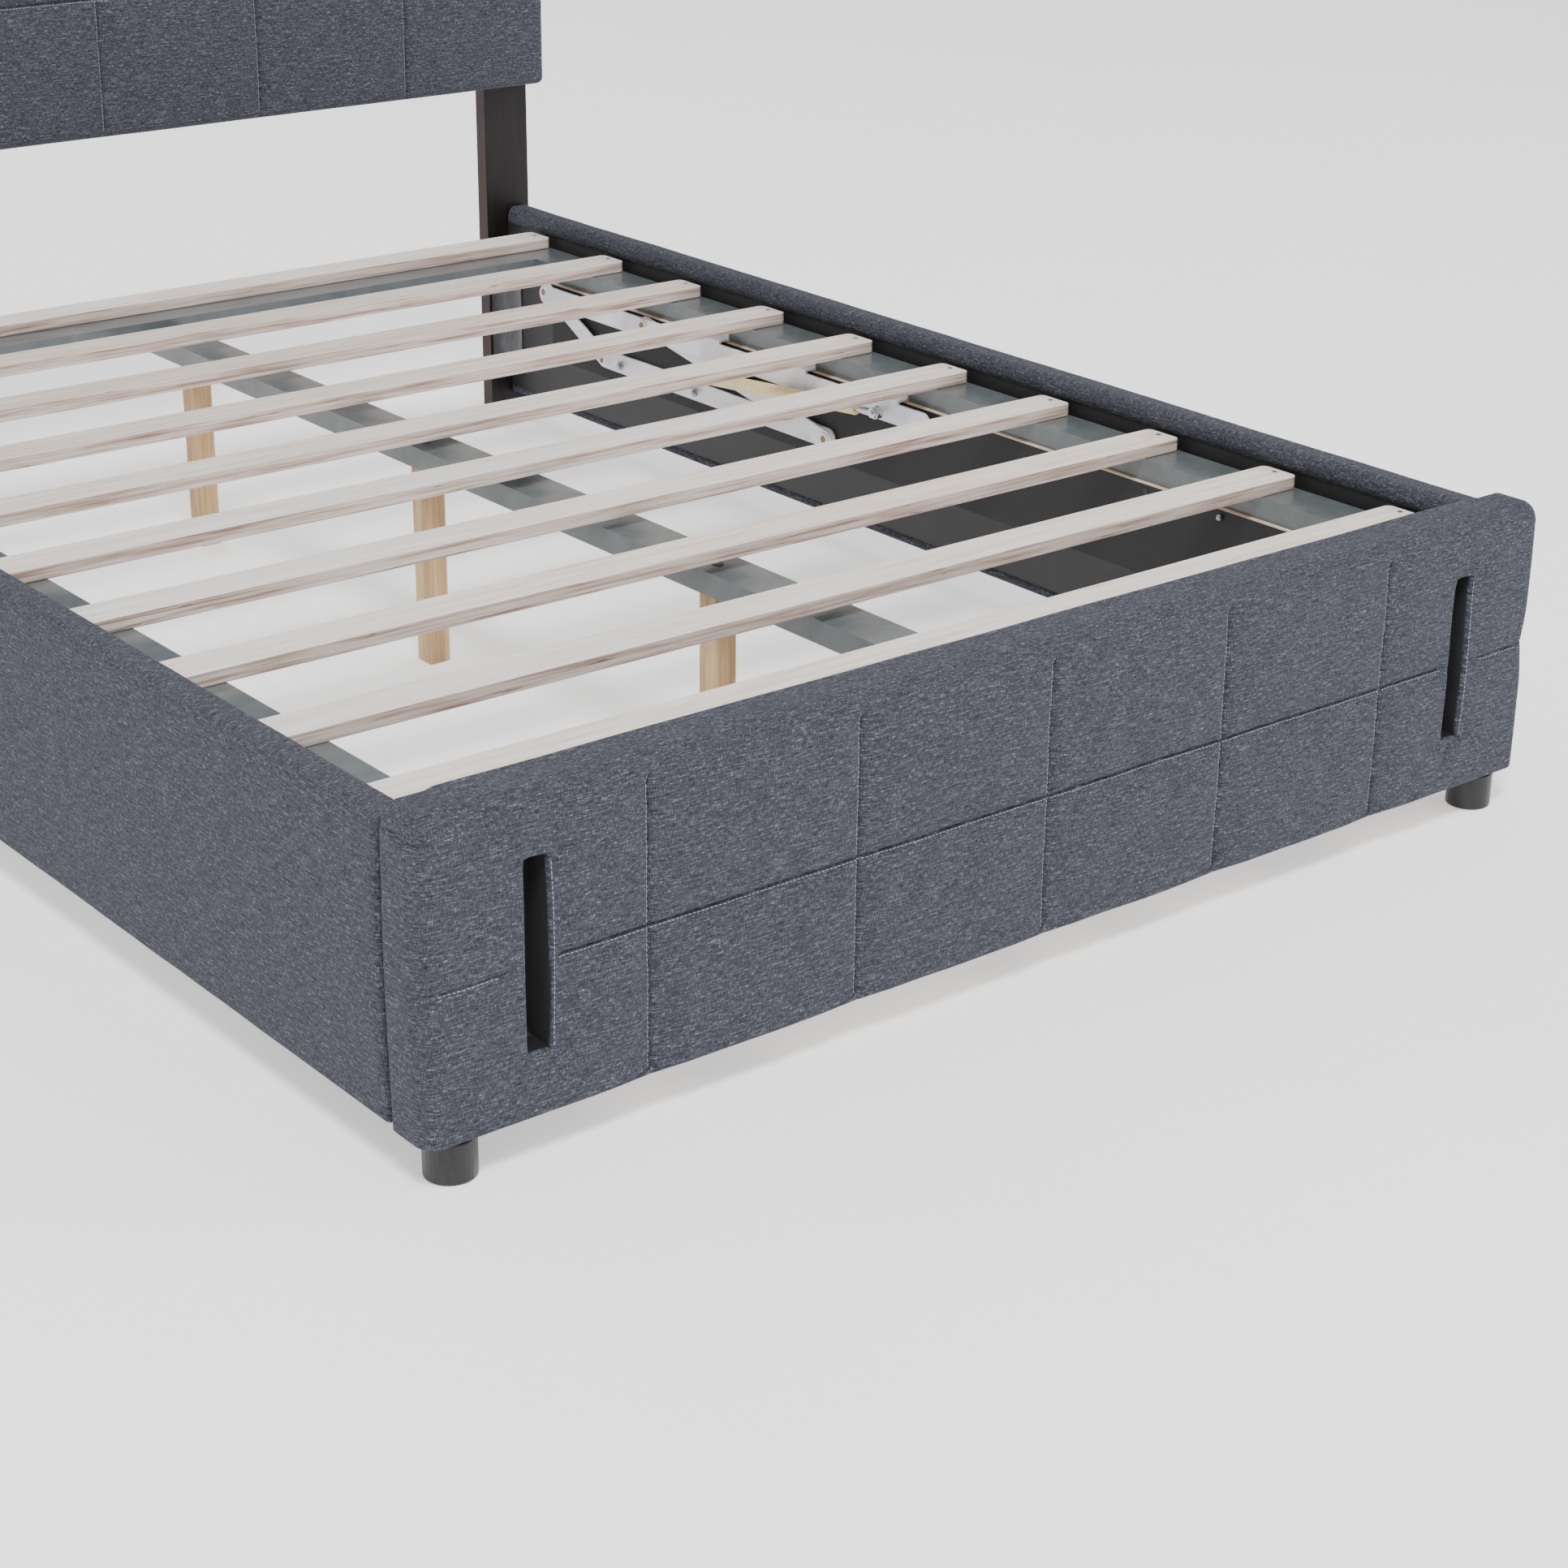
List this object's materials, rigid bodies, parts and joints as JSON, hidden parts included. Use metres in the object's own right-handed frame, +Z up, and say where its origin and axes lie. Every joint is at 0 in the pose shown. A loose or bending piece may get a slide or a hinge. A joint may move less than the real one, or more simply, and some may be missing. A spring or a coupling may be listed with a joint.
{
  "type": "platform bed",
  "caption": "Upholstered queen platform bed: tufted footboard with upright slots, padded headboard, slatted base that lifts on a gas-strut linkage over open storage.",
  "frame": {"origin": "on the floor under the middle of the bed's overall box", "axes": "+X across the bed, to the right seen from the foot; +Y from the footboard to the headboard; +Z up"},
  "size_m": [1.648, 2.239, 1.229],
  "materials": {
    "upholstery_fabric": "heathered slate grey linen-look weave, matt",
    "black_cloth": "non-woven dust cloth, matt",
    "black_plastic": "satin moulded",
    "slat_wood": "pale sanded plywood, unsealed",
    "pine": "planed pine, unsealed",
    "plywood": "raw plywood",
    "stained_wood": "dark stained plywood, satin",
    "grey_paint": "semi-gloss grey-green paint",
    "white_paint": "white powder coat",
    "zinc": "zinc plated",
    "cream_sleeve": "cream plastic sleeve",
    "chrome_rod": "hard chrome"
  },
  "bodies": {
    "platform": {"centre_beam": "grey_paint", "centre_leg_1": "pine", "centre_leg_2": "pine", "centre_leg_3": "pine", "foot_tube": "grey_paint", "head_tube": "grey_paint", "lift_upper_bar_left": "white_paint", "lift_upper_bar_right": "white_paint", "side_tube_left": "grey_paint", "side_tube_right": "grey_paint", "slat_1": "slat_wood", "slat_2": "slat_wood", "slat_3": "slat_wood", "slat_4": "slat_wood", "slat_5": "slat_wood", "slat_6": "slat_wood", "slat_7": "slat_wood", "slat_8": "slat_wood", "slat_9": "slat_wood", "slat_10": "slat_wood"},
    "bed_frame": {"corner_bracket_foot_left": "zinc", "corner_bracket_foot_right": "zinc", "corner_bracket_head_left": "zinc", "corner_bracket_head_right": "zinc", "foot_left": "black_plastic", "foot_right": "black_plastic", "footboard_back_panel": "plywood", "footboard_bottom_rail": "plywood", "footboard_cover": "upholstery_fabric", "footboard_front_panel": "plywood", "footboard_stile_left": "plywood", "footboard_stile_right": "plywood", "footboard_top_rail": "plywood", "headboard_back_board": "plywood", "headboard_cover": "upholstery_fabric", "headboard_panel": "plywood", "headboard_post_left": "stained_wood", "headboard_post_right": "stained_wood", "ledger_board_left": "plywood", "ledger_board_right": "plywood", "ledger_spacer_left": "plywood", "ledger_spacer_right": "plywood", "lift_base_bar_left": "white_paint", "lift_base_bar_right": "white_paint", "side_rail_board_left": "plywood", "side_rail_board_right": "plywood", "side_rail_cover_left": "upholstery_fabric", "side_rail_cover_right": "upholstery_fabric", "side_rail_lining_left": "black_cloth", "side_rail_lining_right": "black_cloth", "slot_liner_left": "black_cloth", "slot_liner_right": "black_cloth"},
    "front_links": {"front_link_left": "white_paint", "front_link_right": "white_paint"},
    "rear_links": {"rear_link_left": "white_paint", "rear_link_right": "white_paint"},
    "strut_cylinders": {"strut_cylinder_left": "cream_sleeve", "strut_cylinder_right": "cream_sleeve"},
    "strut_rods": {"strut_rod_left": "chrome_rod", "strut_rod_right": "chrome_rod"}
  },
  "joints": [
    {"name": "platform_lift", "type": "hinge", "parent": "bed_frame", "child": "platform", "pos_m": [0, 0.9517, 0.6338], "axis": [-1, 0, 0], "range_deg": [0, 29]},
    {"name": "rear_link_pivot", "type": "hinge", "parent": "bed_frame", "child": "rear_links", "pos_m": [0, 0.6805, 0.214], "axis": [1, 0, 0], "range_deg": [0, 60]},
    {"name": "front_link_pivot", "type": "hinge", "parent": "bed_frame", "child": "front_links", "pos_m": [0, 0.1055, 0.214], "axis": [1, 0, 0], "range_deg": [0, 33]},
    {"name": "strut_pivot", "type": "hinge", "parent": "front_links", "child": "strut_cylinders", "pos_m": [0, 0.3635, 0.254], "axis": [-1, 0, 0], "range_deg": [0, 76]},
    {"name": "strut_slide", "type": "slide", "parent": "strut_cylinders", "child": "strut_rods", "axis": [0, -0.9957, 0.0926], "range_m": [0, 0.175]}
  ],
  "couplings": [
    {"joint": "rear_link_pivot", "follows": "platform_lift", "ratio": 2.0489},
    {"joint": "front_link_pivot", "follows": "platform_lift", "ratio": 1.1088},
    {"joint": "strut_pivot", "follows": "platform_lift", "ratio": 2.5924},
    {"joint": "strut_slide", "follows": "platform_lift", "m_per_rad": 0.3393}
  ]
}
